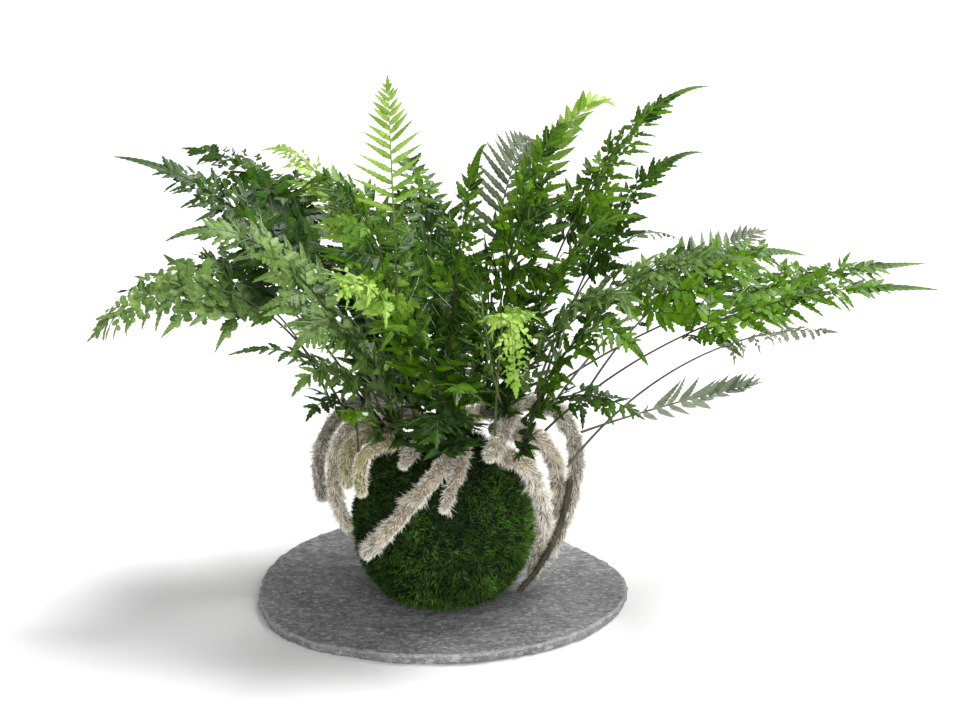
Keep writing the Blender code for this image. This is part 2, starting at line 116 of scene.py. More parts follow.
# rhizome, share along it, tip, arch, leafy share, half-width, roll (degrees), tint, habit
FRONDS = (
    # to the left
    ("left_outer", 0.12, (-0.193, 0.004, 0.273), 0.034, 0.6, 0.042, -28, "dark", "broad"),
    ("left_outer", 0.04, (-0.168, 0.105, 0.26), 0.04, 0.55, 0.038, -20, "dark", "coarse"),
    ("left_inner", 0.14, (-0.158, -0.04, 0.232), 0.046, 0.64, 0.038, -34, "silver", "broad"),
    ("left_outer", 0.3, (-0.168, 0.045, 0.196), 0.026, 0.5, 0.04, -20, "dark", "coarse"),
    ("left_inner", 0.3, (-0.204, -0.05, 0.175), 0.056, 0.56, 0.042, -25, "silver", "coarse"),
    ("left_front", 0.2, (-0.122, -0.06, 0.17), 0.02, 0.62, 0.02, -10, "dark", "full"),
    ("left_front", 0.45, (-0.077, -0.075, 0.135), 0.016, 0.6, 0.022, -15, "dark", "broad"),
    ("left_outer", 0.46, (-0.162, 0.1, 0.158), 0.036, 0.55, 0.04, -10, "green", "broad"),
    # to the front
    ("left_near", 0.26, (-0.083, -0.092, 0.155), 0.028, 0.64, 0.026, -35, "silver", "full"),
    ("left_near", 0.06, (-0.083, -0.1, 0.18), 0.04, 0.66, 0.04, -30, "silver", "full"),
    ("front_stub", 0.05, (-0.056, -0.104, 0.213), 0.042, 0.46, 0.033, -15, "young", "frill"),
    ("front_long", 0.05, (-0.032, -0.112, 0.187), 0.038, 0.66, 0.036, 0, "green", "full"),
    ("front_short", 0.22, (0.009, -0.112, 0.156), 0.024, 0.6, 0.022, 0, "green", "full"),
    ("right_stub", 0.4, (0.021, -0.03, 0.214), -0.02, 0.66, 0.03, 0, "pale", "rachis"),
    ("right_stub", 0.8, (0.042, -0.112, 0.16), 0.062, 0.5, 0.022, 0, "young", "curly"),
    # up the middle
    ("back_left", 0.02, (-0.087, 0.034, 0.246), 0.058, 0.52, 0.04, -28, "green", "full"),
    ("back_left", 0.1, (-0.112, 0.056, 0.267), 0.05, 0.48, 0.026, -20, "young", "frill"),
    ("left_inner", 0.02, (-0.033, 0.03, 0.317), 0.004, 0.4, 0.031, -37, "young", "ladder"),
    ("back_middle", 0.03, (0.027, 0.03, 0.275), 0.046, 0.6, 0.03, 20, "green", "full"),
    ("back_right", 0.08, (0.057, 0.088, 0.268), 0.048, 0.45, 0.036, 20, "grey", "comb"),
    ("right_outer", 0.03, (0.084, 0.022, 0.284), 0.06, 0.62, 0.042, 30, "green", "full"),
    ("back_right", 0.2, (0.107, 0.058, 0.292), 0.066, 0.36, 0.018, 20, "young", "paddle"),
    ("right_outer", 0.13, (0.158, 0.032, 0.31), 0.05, 0.58, 0.034, 25, "green", "broad"),
    # to the right
    ("right_inner", 0.3, (0.156, 0.034, 0.27), 0.046, 0.55, 0.03, 20, "dark", "broad"),
    ("right_inner", 0.05, (0.114, -0.05, 0.248), 0.038, 0.62, 0.042, 25, "green", "full"),
    ("right_outer", 0.24, (0.15, 0.052, 0.208), 0.044, 0.42, 0.01, 10, "grey", "curly"),
    ("right_outer", 0.32, (0.205, 0.092, 0.21), 0.018, 0.4, 0.026, 20, "grey", "comb"),
    ("right_outer", 0.4, (0.222, 0.045, 0.204), 0.036, 0.62, 0.048, 30, "green", "broad"),
    ("right_inner", 0.38, (0.287, -0.034, 0.202), 0.03, 0.58, 0.034, 25, "green", "broad"),
    ("right_stub", 0.1, (0.178, -0.06, 0.225), 0.03, 0.64, 0.036, 28, "silver", "broad"),
    ("right_inner", 0.66, (0.225, -0.065, 0.185), 0.028, 0.36, 0.014, 20, "grey", "curly"),
    ("right_outer", 0.47, (0.199, 0.045, 0.123), 0.002, 0.66, 0.024, -50, "grey", "paddle"),
    ("right_stub", 0.35, (0.113, -0.092, 0.208), 0.03, 0.62, 0.036, 15, "silver", "full"),
    ("right_front", 0.14, (0.116, -0.084, 0.171), 0.044, 0.64, 0.034, 30, "green", "full"),
    # to the back
    ("back_left", 0.3, (-0.11, 0.13, 0.188), 0.038, 0.58, 0.044, 0, "green", "full"),
    ("back_middle", 0.3, (-0.02, 0.165, 0.18), 0.04, 0.58, 0.044, 0, "dark", "full"),
    # low on the right
    ("right_inner", 0.22, (0.118, -0.046, 0.127), 0.016, 0.5, 0.022, 25, "dark", "full"),
    # to the back, higher up
    ("back_left", 0.19, (-0.088, 0.125, 0.237), 0.028, 0.58, 0.042, 0, "dark", "full"),
    ("back_middle", 0.15, (-0.03, 0.11, 0.251), 0.05, 0.58, 0.042, 0, "green", "full"),
    # far to the right
    ("back_right", 0.46, (0.301, 0.07, 0.193), 0.024, 0.46, 0.036, 22, "green", "broad"),
    # low over the ball
    ("left_near", 0.55, (-0.05, -0.088, 0.134), 0.018, 0.66, 0.022, 0, "green", "broad"),
    ("front_long", 0.18, (-0.002, -0.116, 0.132), 0.022, 0.7, 0.034, 0, "dark", "full"),
)

TINTS = {
    # shaded colour, lit colour, stalk colour
    # painted shade: a darker copy of the green, for fronds that stand in shade
    "dark": ((0.004, 0.022, 0.001), (0.058, 0.165, 0.004), (0.034, 0.027, 0.019)),
    "green": ((0.009, 0.044, 0.001), (0.152, 0.345, 0.008), (0.04, 0.034, 0.018)),
    # painted sheen: a paler grey-green copy of the green, for fronds whose waxy tops catch the light
    "silver": ((0.017, 0.07, 0.004), (0.24, 0.39, 0.095), (0.05, 0.045, 0.024)),
    "young": ((0.17, 0.37, 0.02), (0.52, 0.74, 0.15), (0.08, 0.1, 0.024)),
    "pale": ((0.05, 0.17, 0.012), (0.26, 0.48, 0.08), (0.22, 0.26, 0.11)),
    # painted backlight: a pale grey-green copy of the green, for fronds seen with light shining through them
    "grey": ((0.075, 0.105, 0.05), (0.29, 0.34, 0.22), (0.09, 0.08, 0.065)),
}

# Leaf habits. Comb, ladder and paddle have plain blades for pinnae, and lack the columns on leaflets.
#   step: spacing of the pinnae at the leaf's base; angle: theirs to the midrib, in degrees
#   fit: half-width of a leaflet, or of a plain pinna, per spacing
#   curl: of leaflets and plain pinnae; stir: how uneven it all is
#   narrow: power by which the leaf narrows; point: the share of it that is one toothed point
#   skirt: how far small pinnae go on down the stalk, per leaf length
#   fine: spacing of the leaflets; reach: their length per length of pinna; droop: of the pinnae
#   least: length from which a pinna has leaflets
#   borne: the share of a pinna that bears leaflets; tail: where on it its own point starts
HABIT_COLUMNS = "step angle fit curl stir narrow point skirt fine reach droop least borne tail".split()
HABITS = {
    "broad": (0.0108, 62, 0.66, 0.16, 1.2, 1.15, 0.36, 0, 0.005, 0.38, 0.22, 0.015, 0.62, 0.44),
    "full": (0.011, 62, 0.66, 0.18, 1.4, 1.15, 0.28, 0.85, 0.0052, 0.38, 0.26, 0.015, 0.62, 0.44),
    "rachis": (0.0088, 76, 0.52, 0.12, 0.9, 0.7, 0.14, 0.3, 0.0048, 0.22, 0.16, 0.015, 0.8, 0.66),
    "coarse": (0.014, 58, 0.74, 0.25, 1.6, 0.95, 0.14, 0, 0.0062, 0.4, 0.24, 0.015, 0.8, 0.66),
    "curly": (0.0086, 68, 0.56, 0.5, 2, 0.9, 0.12, 0, 0.0036, 0.34, 0.35, 0.008, 0.8, 0.66),
    "frill": (0.008, 66, 0.62, 0.3, 2, 0.9, 0.2, 0.3, 0.0044, 0.34, 0.3, 0.008, 0.8, 0.66),
    "comb": (0.0082, 62, 0.3, 0.05, 0.5, 0.8, 0.14, 0),
    "ladder": (0.0088, 70, 0.24, -0.08, 0.6, 0.9, 0.12, 0),
    "paddle": (0.009, 58, 0.38, -0.1, 0.8, 0.7, 0.16, 0),
}

# ---- Lines and noise ----

ASKEW = (0.31, 0.83, 0.46)  # a direction that nothing here follows, to find one across any other
NOISE_WAVES = 10


def unit(v):
    return v / np.linalg.norm(v, axis=-1, keepdims=True)


def turned_about(v, axis, angle):
    """Turn vectors about unit axes by angles in radians; everything may be an array."""
    angle = np.asarray(angle)[..., None]
    along = np.sum(v * axis, axis=-1, keepdims=True) * axis
    return v * np.cos(angle) + np.cross(axis, v) * np.sin(angle) + along * (1 - np.cos(angle))


def turns(count):
    """Return angles that divide a full turn evenly."""
    return np.arange(count) * math.tau / count


def about_axis(radius, angle, height):
    """Return points given by their distance from the Z axis, angle about it and height."""
    return np.stack(np.broadcast_arrays(radius * np.cos(angle), radius * np.sin(angle), height), axis=1)


def directions(line):
    ends = np.vstack((line[0], line, line[-1]))
    return unit(ends[2:] - ends[:-2])


def lengths_along(line):
    return np.append(0, np.cumsum(np.linalg.norm(np.diff(line, axis=0), axis=1)))


def points_at(marks, places, line):
    """Return a line's points at marks, where places are the marks of its own points."""
    return np.stack([np.interp(marks, places, line[:, k]) for k in range(3)], axis=1)


def resample(line, step):
    length = lengths_along(line)
    marks = np.linspace(0, length[-1], max(2, round(length[-1] / step)) + 1)
    return points_at(marks, length, line)


def catmull_rom(a, b, c, d, t):
    return 0.5 * (2 * b + (c - a) * t + (2 * a - 5 * b + 4 * c - d) * t * t
                  + (3 * b - a - 3 * c + d) * t ** 3)


def smooth_route(points, step):
    knots = np.array(points)
    knots = np.vstack((2 * knots[0] - knots[1], knots, 2 * knots[-1] - knots[-2]))
    t = (np.arange(CURVE_STEPS) / CURVE_STEPS)[:, None]
    spans = [catmull_rom(*knots[k:k + 4], t) for k in range(len(knots) - 3)]
    return resample(np.vstack(spans + [knots[-2]]), step)


def lumps(points, size, seed, octaves=3):
    """Return smooth noise of about -1 to 1 at each point, with features about the given size."""
    rng = np.random.default_rng(seed)
    total = np.zeros(len(points))
    for octave in range(octaves):
        waves = rng.normal(size=(NOISE_WAVES, 3)) * (2 ** octave * 2.2 / size)
        phases = rng.uniform(0, math.tau, NOISE_WAVES)
        total += np.sin(points @ waves.T + phases).sum(axis=1) / (4.5 * 1.7 ** octave)
    return np.clip(total, -1.6, 1.6)


def lump_vectors(points, size, seed):
    """Return three noises at each point, of seeds from the given one on, as vectors."""
    return np.stack([lumps(points, size, seed + k, 2) for k in range(3)], axis=1)


# ---- Meshes ----

STALK = 1  # a frond's second material; the first is the leaf's
SPIKE_ANGLES = (0, 2.094, 4.189)  # where a spike's three feet stand around its middle
RIDGE_HEIGHT = 0.22  # of a blade's ridge over its edges, per half-width


class Shape:
    """The points and faces of one mesh, with numbers at each point that its materials read."""

    def __init__(self):
        self.points, self.corners, self.sizes, self.slots = [], [], [], []
        self.values = {"tone": [], "along": [], "mid": []}
        self.count = 0

    def add_points(self, points, **values):
        """Add points and return their indices, as an array of the same form; a value not given is 0.5."""
        form = points.shape[:-1]
        indices = self.count + np.arange(math.prod(form)).reshape(form)
        self.points.append(points.reshape(-1, 3))
        for name, parts in self.values.items():
            parts.append(np.broadcast_to(values.get(name, 0.5), form).ravel())
        self.count += indices.size
        return indices

    def add_faces(self, faces, slot=0):
        """Add faces, whose corners are the indices along the last axis."""
        size = faces.shape[-1]
        count = faces.size // size
        self.corners.append(faces.ravel())
        self.sizes.append(np.full(count, size))
        self.slots.append(np.full(count, slot))

    def make(self, name, finishes, sharp):
        mesh = bpy.data.meshes.new(name)
        corners = np.concatenate(self.corners)
        sizes = np.concatenate(self.sizes)
        mesh.vertices.add(self.count)
        mesh.vertices.foreach_set("co", np.concatenate(self.points).ravel())
        mesh.loops.add(len(corners))
        mesh.loops.foreach_set("vertex_index", corners)
        mesh.polygons.add(len(sizes))
        mesh.polygons.foreach_set("loop_start", np.append(0, np.cumsum(sizes)[:-1]))
        mesh.polygons.foreach_set("material_index", np.concatenate(self.slots))
        mesh.update(calc_edges=True)
        for key, parts in self.values.items():
            layer = mesh.attributes.new(key, "FLOAT", "POINT")
            layer.data.foreach_set("value", np.concatenate(parts).astype(np.float32))
        for finish in finishes:
            mesh.materials.append(finish)
        mesh.shade_smooth()
        mesh.set_sharp_from_angle(angle=math.radians(sharp))
        return add_object(name, mesh)


def add_object(name, data):
    made = bpy.data.objects.new(name, data)
    bpy.context.scene.collection.objects.link(made)
    return made


def piece(shape, name, finishes, node, sharp):
    """Make the visible piece that stands in for a node; edges over `sharp` degrees are shaded sharp."""
    made = shape.make(name, finishes, sharp)
    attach(made, "root")
    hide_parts(node)


def walls(grid):
    """Return the faces between rings of points, which look outwards where the rings rise."""
    near, far = grid[:-1], grid[1:]
    return np.stack((near, np.roll(near, -1, 1), np.roll(far, -1, 1), far), axis=-1).reshape(-1, 4)


def add_shell(shape, rings, caps, ring_values, cap_values, rising=True):
    """Add rings of points joined by walls, and a fan of triangles from a cap's point to each end ring."""
    start = shape.add_points(caps[0], **cap_values)
    grid = shape.add_points(np.array(rings), **ring_values)
    end = shape.add_points(caps[1], **cap_values)
    first, last = grid[0], grid[-1]
    start_fan = np.stack((np.full(len(first), start), np.roll(first, -1), first), axis=-1)
    end_fan = np.stack((np.full(len(last), end), last, np.roll(last, -1)), axis=-1)
    for faces in (walls(grid), start_fan, end_fan):
        shape.add_faces(faces if rising else np.hstack((faces[:, :1], faces[:, :0:-1])))


def add_tube(shape, line, radii, sides, slot=0, tone=0.5, along=(0, 1)):
    """Add a round tube along a line, closed at both ends, without twist."""
    ahead = directions(line)
    across = unit(np.cross(ahead[0], ASKEW))
    rings = []
    angle = turns(sides)[:, None]
    for k in range(len(line)):
        across = unit(across - (across @ ahead[k]) * ahead[k])
        beside = np.cross(ahead[k], across)
        rings.append(line[k] + radii[k] * (np.cos(angle) * across + np.sin(angle) * beside))
    shares = np.linspace(*along, len(line))[:, None]
    grid = shape.add_points(np.array(rings), tone=tone, along=shares, mid=0)
    for faces in (walls(grid), grid[0][::-1], grid[-1]):
        shape.add_faces(faces, slot)


def add_blade_rows(shape, rows, shares, tone):
    """Add blades, each from rows of three points: edge, ridge and edge at each share of its length."""
    tone = np.reshape(tone, (-1, 1, 1))
    grid = shape.add_points(rows, tone=tone, along=shares[:, None], mid=(0, 1, 0))
    near, far = grid[:, :-1], grid[:, 1:]
    for a, b in ((0, 1), (1, 2), (2, 0)):
        shape.add_faces(np.stack((near[..., a], near[..., b], far[..., b], far[..., a]), axis=-1))
    shape.add_faces(grid[:, 0, (0, 2, 1)])
    shape.add_faces(grid[:, -1])


def add_blades(shape, base, ahead, side, length, half, outline, tone, curl):
    """Add flat leaflets of one outline: each has a ridge down its middle and two thin toothed edges."""
    if len(base) == 0:
        return
    t, w, lean = outline.T[:, None, :, None]
    base, ahead, side = (np.reshape(vectors, (-1, 1, 3)) for vectors in (base, ahead, side))
    length, half, curl = (np.reshape(values, (-1, 1, 1)) for values in (length, half, curl))
    upper = np.cross(ahead, side)
    middle = base + ahead * length * t - upper * curl * length * t * t
    edge = middle + ahead * lean * w * half
    reach = side * w * half
    drop = upper * RIDGE_HEIGHT * w * half
    rows = np.stack((edge + reach - drop, middle, edge - reach - drop), axis=2)
    add_blade_rows(shape, rows, outline[:, 0], tone)


def add_lance(shape, base, ahead, upper, length, half, outline, tone, curl):
    """Add one toothed blade."""
    side = np.cross(unit(upper - (upper @ ahead) * ahead), ahead)
    add_blades(shape, base, ahead, side, length, half, outline, tone, curl)


def add_ribbon(shape, line, upper, half, outline):
    """Add one toothed blade that follows a line."""
    t, w, lean = outline.T
    marks = np.linspace(0, 1, len(line))
    middle = points_at(t, marks, line)
    normal = points_at(t, marks, upper)
    ahead = directions(middle)
    side = unit(np.cross(normal, ahead))
    edge = middle + ahead * (lean * w * half)[:, None] - unit(normal) * (RIDGE_HEIGHT * w * half)[:, None]
    reach = side * (w * half)[:, None]
    add_blade_rows(shape, np.stack((edge + reach, middle, edge - reach), axis=1)[None], t, 0.5)


def add_spikes(shape, base, ahead, length, half, tone):
    """Add hairs: thin three-sided spikes whose feet are sunk in what they stand on."""
    across = unit(np.cross(ahead, ASKEW))
    beside = np.cross(ahead, across)
    feet = [base + half * (math.cos(a) * across + math.sin(a) * beside) for a in SPIKE_ANGLES]
    corners = np.stack(feet + [base + ahead * length[:, None]], axis=1)
    tone = np.reshape(tone, (-1, 1))
    grid = shape.add_points(corners, tone=tone, along=(0, 0, 0, 1), mid=0)
    for face in ((0, 1, 3), (1, 2, 3), (2, 0, 3), (0, 2, 1)):
        shape.add_faces(grid[:, face])


# ---- Materials ----

def scaled(colour, factor, more=0):
    return tuple(min(1, c * factor + more) for c in colour)


class Nodes:
    """A material being made, with short ways to add and join its nodes."""

    def __init__(self, name):
        self.material = bpy.data.materials.new(name)
        self.material.use_nodes = True
        self.tree = self.material.node_tree
        self.shader = self.tree.nodes["Principled BSDF"]

    def set(self, socket, value):
        """Link another node's socket to this one, or set it to a value."""
        if isinstance(value, bpy.types.NodeSocket):
            self.tree.links.new(value, socket)
        else:
            socket.default_value = value

    def add(self, kind, inputs=(), **settings):
        node = self.tree.nodes.new("ShaderNode" + kind)
        for key, value in settings.items():
            setattr(node, key, value)
        for key, value in dict(inputs).items():
            self.set(node.inputs[key], value)
        return node

    def value(self, name):
        return self.add("Attribute", attribute_name=name).outputs["Fac"]

    def noise(self, scale, detail=3, rough=0.55, stretch=(1, 1, 1), distortion=0):
        """Add noise; its features are long along the axes whose stretch is small."""
        place = self.add("TexCoord").outputs["Object"]
        place = self.add("Mapping", {"Vector": place, "Scale": stretch}).outputs["Vector"]
        inputs = {"Vector": place, "Scale": scale, "Detail": detail, "Roughness": rough}
        return self.add("TexNoise", {**inputs, "Distortion": distortion}).outputs["Fac"]

    def span(self, value, low, high, to_low=0, to_high=1):
        inputs = {"Value": value, "From Min": low, "From Max": high, "To Min": to_low, "To Max": to_high}
        return self.add("MapRange", inputs).outputs["Result"]

    def spread(self, noise, to_low=0, to_high=1):
        """Spread noise, which seldom leaves 0.3 to 0.7, over a range."""
        return self.span(noise, 0.3, 0.7, to_low, to_high)

    def mix(self, factor, first, second):
        first, second = ((*colour, 1) if isinstance(colour, tuple) else colour for colour in (first, second))
        return self.add("Mix", {0: factor, 6: first, 7: second}, data_type="RGBA").outputs[2]

    def math(self, kind, first, second=0):
        return self.add("Math", {0: first, 1: second}, operation=kind).outputs[0]

    def finish(self, colour, roughness, bump=None, strength=0.5, distance=0.0003, **sockets):
        sockets.update({"Base Color": colour, "Roughness": roughness})
        if bump is not None:
            made = self.add("Bump", {"Height": bump, "Strength": strength, "Distance": distance})
            sockets["Normal"] = made.outputs["Normal"]
        for key, value in sockets.items():
            self.set(self.shader.inputs[key.replace("_", " ")], value)
        return self.material

    def thin(self, colour, share):
        """Let light through a thin leaf."""
        through = self.add("BsdfTranslucent", {"Color": colour}).outputs[0]
        both = self.add("MixShader", {0: share, 1: self.shader.outputs[0], 2: through})
        self.set(self.tree.nodes["Material Output"].inputs["Surface"], both.outputs[0])
        return self.material


def leaf_finish(tint):
    shade, lit, _ = TINTS[tint]
    n = Nodes("leaf_" + tint)
    mottle = n.noise(260, 4)
    tone = n.math("ADD", n.value("tone"), n.spread(mottle, -0.24, 0.24))
    tone = n.math("ADD", tone, n.spread(n.noise(60, 2), -0.32, 0.32))
    # the tone, which carries painted light and shade as well as random variation, sets the colour between the
    # shaded and the lit one
    colour = n.mix(n.span(tone, 0.05, 0.95), shade, lit)
    midvein = n.span(n.value("mid"), 0.8, 1)
    colour = n.mix(n.math("MULTIPLY", midvein, 0.45), colour, scaled(lit, 1.5, 0.03))
    slant = n.math("MULTIPLY", n.value("mid"), -5)
    side_veins = n.math("SINE", n.math("ADD", n.math("MULTIPLY", n.value("along"), 44), slant))
    colour = n.mix(n.span(side_veins, 0.2, 1, 0, 0.22), colour, shade)
    relief = n.math("ADD", n.noise(1500, 2), n.value("mid"))
    n.finish(colour, n.spread(mottle, 0.34, 0.52), relief, 0.35, 0.0002, Specular_IOR_Level=0.3)
    return n.thin(n.mix(0.5, colour, scaled(lit, 1.6)), 0.22)


def stalk_finish(tint):
    _, lit, stalk = TINTS[tint]
    n = Nodes("stalk_" + tint)
    streak = n.noise(120, stretch=(1, 1, 0.25))
    dark = n.mix(n.spread(streak), scaled(stalk, 0.55), scaled(stalk, 1.5))
    green = tuple(0.5 * a + 0.5 * b for a, b in zip(lit, stalk))
    colour = n.mix(n.span(n.value("along"), 0.45, 1), dark, green)
    return n.finish(colour, 0.42, streak, 0.4)


def fur_finish(name, root, tip, patches):
    n = Nodes(name)
    # painted shade: hairs darken from the tip down to the root, and the skin under them is as dark, for the
    # shade deep in the fur
    hair = n.math("ADD", n.value("along"), n.span(n.value("tone"), 0, 1, -0.35, 0.35))
    colour = n.mix(n.span(hair, 0, 0.55), root, tip)
    colour = n.mix(n.span(n.noise(90), 0.52, 0.72, 0, 0.6), colour, patches)
    return n.finish(colour, 0.85, n.noise(900), 0.6, Sheen_Weight=0.25, Sheen_Roughness=0.5)


def bark_finish():
    n = Nodes("rhizome_bark")
    grain = n.noise(220, 4, stretch=(1, 1, 0.35))
    colour = n.mix(n.spread(grain), (0.02, 0.016, 0.009), (0.11, 0.092, 0.055))
    colour = n.mix(n.span(n.value("along"), 0.6, 1, 0, 0.8), colour, (0.33, 0.3, 0.22))
    return n.finish(colour, 0.7, grain, 0.6)


def moss_finish():
    n = Nodes("moss")
    fine = n.noise(240, 2)
    tone = n.value("tone")
    height = n.math("ADD", n.value("along"), n.spread(fine, -0.2, 0.2))
    # painted shade: the ball's skin and the feet of the strands are a near-black green, for the shade deep in
    # the moss
    dark = n.mix(n.span(tone, 0, 1), (0.001, 0.004, 0.001), (0.005, 0.018, 0.002))
    fresh = n.mix(n.span(tone, 0.22, 0.95), (0.005, 0.028, 0.002), (0.25, 0.56, 0.06))
    fresh = n.mix(n.span(n.noise(42), 0.42, 0.68), fresh, (0.04, 0.105, 0.012))
    # strands of tone 1 are dry
    fresh = n.mix(n.span(tone, 0.93, 0.96), fresh, (0.24, 0.2, 0.07))
    colour = n.mix(n.span(height, 0.1, 1), dark, fresh)
    n.finish(colour, 0.75, fine, 0.4, Specular_IOR_Level=0.2)
    return n.thin(colour, 0.18)


def soil_finish():
    n = Nodes("soil")
    grain = n.noise(420, 5)
    colour = n.mix(n.spread(grain), (0.01, 0.007, 0.004), (0.075, 0.048, 0.028))
    return n.finish(colour, 0.95, grain, 1, 0.0006)


def slate_finish():
    n = Nodes("slate")
    broad = n.noise(16, 4)
    fine = n.noise(700, 4)
    streak = n.noise(110, 5, 0.6, (0.62, 1, 1), 0.4)
    colour = n.mix(n.spread(broad), (0.14, 0.14, 0.143), (0.255, 0.255, 0.258))
    for noise, low, high, share, grey in (
        (n.noise(420, 5, 0.7), 0.46, 0.6, 0.75, (0.34, 0.34, 0.342)),
        (n.noise(260, 4, 0.7, (0.8, 1, 1)), 0.52, 0.62, 0.6, (0.085, 0.085, 0.088)),
        (fine, 0.35, 0.65, 0.45, (0.08, 0.08, 0.082)),
        (streak, 0.52, 0.66, 0.5, (0.42, 0.42, 0.425)),
        (n.noise(330, 4, 0.65, (0.8, 1, 1)), 0.53, 0.62, 0.7, (0.48, 0.48, 0.485)),
    ):
        colour = n.mix(n.span(noise, low, high, 0, share), colour, grey)
    vein = n.math("ABSOLUTE", n.math("SUBTRACT", n.noise(22, 4, 0.6, (0.5, 1.6, 1), 0.8), 0.5))
    broken_vein = n.math("MULTIPLY", n.span(vein, 0, 0.004, 0.5, 0), n.span(broad, 0.45, 0.6))
    colour = n.mix(broken_vein, colour, (0.38, 0.38, 0.39))
    dips = n.noise(85, 4, 0.65, (0.85, 1, 1))
    colour = n.mix(n.span(dips, 0.52, 0.66, 0, 0.45), colour, (0.08, 0.08, 0.082))
    crack = n.math("ABSOLUTE", n.math("SUBTRACT", n.noise(9, 2, 0.5, (1, 0.7, 1), 0.6), 0.47))
    colour = n.mix(n.span(crack, 0, 0.002, 0.45, 0), colour, (0.05, 0.05, 0.055))
    # painted highlight: the arris is coloured lighter
    colour = n.mix(n.span(n.value("mid"), 0.4, 1, 0, 0.4), colour, (0.4, 0.4, 0.4))
    height = n.math("ADD", n.math("MULTIPLY", fine, 0.5), streak)
    return n.finish(colour, n.spread(streak, 0.62, 0.82), height, 0.6, 0.0006)


def floor_finish():
    n = Nodes("floor")
    colour = n.mix(n.spread(n.noise(1.2, 2)), (0.9, 0.9, 0.9), (0.93, 0.93, 0.93))
    return n.finish(colour, 0.9)


# ---- Plate, moss and soil ----

PLATE_SECTORS, PLATE_RINGS = 300, 44
# rings from the arris down the edge: height, inset from the outline, strength of the painted highlight on the
# arris
PLATE_EDGE = ((0.005, 0.0001, 1), (0.004, 0.0003, 0.1), (0.0028, 0.0006, 0), (0.0014, 0.001, 0),
              (0, PLATE_UNDERCUT, 0))
RIVEN_STEP = 0.00022  # depth of the flaked patches
ARRIS_HIGHLIGHT_SHARE = 0.015  # of the radius; the arris there is coloured lighter, a painted highlight

MOSS_RINGS, MOSS_SECTORS = 60, 120
MOSS_SKIN_DEPTH, MOSS_ROOT_DEPTH = 0.0008, 0.0012  # below the ball's surface
MOSS_SWELL, SWELL_SIZE = 0.0007, 0.16  # height in metres; size on a ball of radius 1
MOSS_COLLAR = 0.006  # how far the moss turns down into the crown's opening
STRANDS = 40000
STRAND_LENGTHS = (0.0022, 0.006)
STRAND_HALF = 0.00044
FLATTEST = 0.22  # least rise of a strand off the ball, per length
SHAGGY_SHADED_FROM, SHAGGY_SHADED_SPAN = 0.74, 0.22  # height, on a ball of radius 1, where strands grow long, and darker as painted shade under the foliage
DRY_SHARE = 0.03

SOIL_SECTORS, SOIL_BALL_RINGS, SOIL_MOUND_RINGS = 48, 14, 12
SOIL_DEPTH = 0.0075  # under the ball's surface, inside the moss
CRUMBS = 500
CRUMB_LENGTHS = (0.001, 0.0024)
CRUMB_HALF = 0.0007


def plate_radius(angle):
    radii = np.array(PLATE_RADII)
    place = angle / math.tau * len(radii)
    first = np.floor(place).astype(int)
    near = [radii[(first + k) % len(radii)] for k in (-1, 0, 1, 2)]
    return catmull_rom(*near, place - first)


def make_plate():
    """A riven slate: a fine relief on top, a chipped edge, and between them an arris coloured lighter as a
    painted highlight.
    """
    angle = turns(PLATE_SECTORS)
    outline = plate_radius(angle)
    rim = about_axis(1, angle, 0)
    around = rim * 0.11
    chips = 0.0005 * lumps(around, 0.01, 1) + 0.0004 * lumps(around, 0.003, 2)
    shares = np.linspace(0, 1, PLATE_RINGS) ** 0.8
    rings, arris_highlight = [], []
    for share in shares[1:]:
        ring = rim * (share * (outline - PLATE_ARRIS + chips))[:, None]
        relief = 0.00022 * lumps(ring * (1, 1.6, 1), 0.022, 3) + 0.0001 * lumps(ring, 0.005, 4)
        flaked = lumps(ring * (0.7, 1.5, 1), 0.03, 5, 2) > 0.35
        ring[:, 2] = PLATE_THICKNESS + np.minimum(relief, 0.0002) - RIVEN_STEP * flaked
        rings.append(ring)
        arris_highlight.append(max(0, (share - (1 - ARRIS_HIGHLIGHT_SHARE)) / ARRIS_HIGHLIGHT_SHARE))
    for height, inset, highlight in PLATE_EDGE:
        ragged = 0.0005 * lumps(around + (0, 0, height * 2), 0.006, 6) if height else 0
        ring = rim * (outline - inset + chips + ragged)[:, None]
        ring[:, 2] = height + (0.0002 * lumps(ring, 0.008, 7) if height else 0)
        rings.append(ring)
        arris_highlight.append(highlight)
    shape = Shape()
    add_shell(shape, rings, np.array(((0, 0, PLATE_THICKNESS), (0, 0, 0))),
              {"mid": np.array(arris_highlight)[:, None]}, {"mid": 0}, rising=False)
    piece(shape, "plate", [slate_finish()], "slate_plate", 40)


def ball_directions(count, low, high):
    """Return evenly spread unit directions whose heights lie between two shares."""
    k = np.arange(count) + 0.5
    z = low + (high - low) * k / count
    turn = k * math.pi * (3 - math.sqrt(5))
    return about_axis(np.sqrt(1 - z * z), turn, z)


